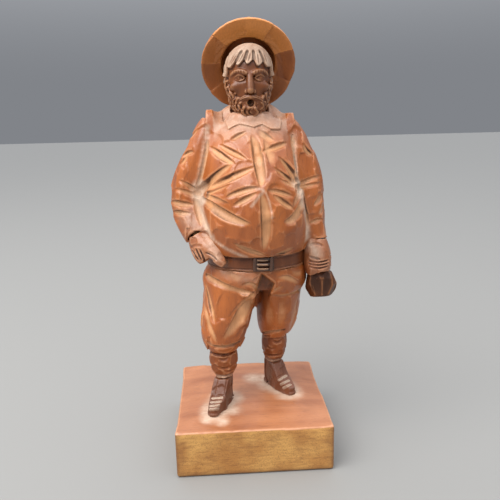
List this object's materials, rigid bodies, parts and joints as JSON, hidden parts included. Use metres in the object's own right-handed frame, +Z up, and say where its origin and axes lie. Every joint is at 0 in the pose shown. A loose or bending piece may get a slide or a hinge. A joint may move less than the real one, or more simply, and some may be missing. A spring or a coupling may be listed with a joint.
{
  "type": "incense smoker figure",
  "caption": "Carved wooden figure of a stout countryman on a block, made as an incense smoker: the hollow upper body lifts off a burner and smoke leaves by the mouth.",
  "frame": {"origin": "middle of the plinth's underside", "axes": "+Z up, the figure faces -Y, +X is the figure's left"},
  "size_m": [0.0763, 0.068, 0.1953],
  "materials": {
    "carved_wood": "carved, stained and waxed, paler in the gouge cuts",
    "dark_wood": "dark stained and waxed",
    "head_wood": "finely carved, dark in the cuts, paler on the hair",
    "hat_wood": "pared in broad facets and waxed",
    "plinth_wood": "pared top, sawn sides with open grain",
    "turned_wood": "turned and left bare",
    "tinplate": "dull pressed tinplate",
    "nail_steel": "bright wire nail",
    "incense": "matt pressed powder"
  },
  "bodies": {
    "lower": {"breeches": "carved_wood", "right_stocking": "carved_wood", "left_stocking": "carved_wood", "belt": "dark_wood", "buckle": "dark_wood", "right_shoe": "dark_wood", "left_shoe": "dark_wood", "plinth": "plinth_wood", "spigot_ring": "turned_wood", "right_leg_dowel": "turned_wood", "left_leg_dowel": "turned_wood", "burner_plate": "tinplate", "cone_cup": "tinplate", "burner_nail": "nail_steel"},
    "upper": {"torso": "carved_wood", "right_sleeve": "carved_wood", "left_sleeve": "carved_wood", "right_hand": "carved_wood", "left_hand": "carved_wood", "pouch": "dark_wood", "head": "head_wood", "hat_brim": "hat_wood", "hat_crown": "hat_wood", "right_arm_dowel": "turned_wood", "left_arm_dowel": "turned_wood", "right_wrist_dowel": "turned_wood", "left_wrist_dowel": "turned_wood", "hat_dowel": "turned_wood", "neck_tube": "turned_wood"},
    "cone": {"incense_cone": "incense"}
  },
  "joints": [
    {"name": "torso_lift", "type": "slide", "parent": "lower", "child": "upper", "axis": [0, 0, 1], "range_m": [0, 0.06]},
    {"name": "cone_lift", "type": "slide", "parent": "lower", "child": "cone", "axis": [0, 0, 1], "range_m": [0, 0.012]}
  ]
}
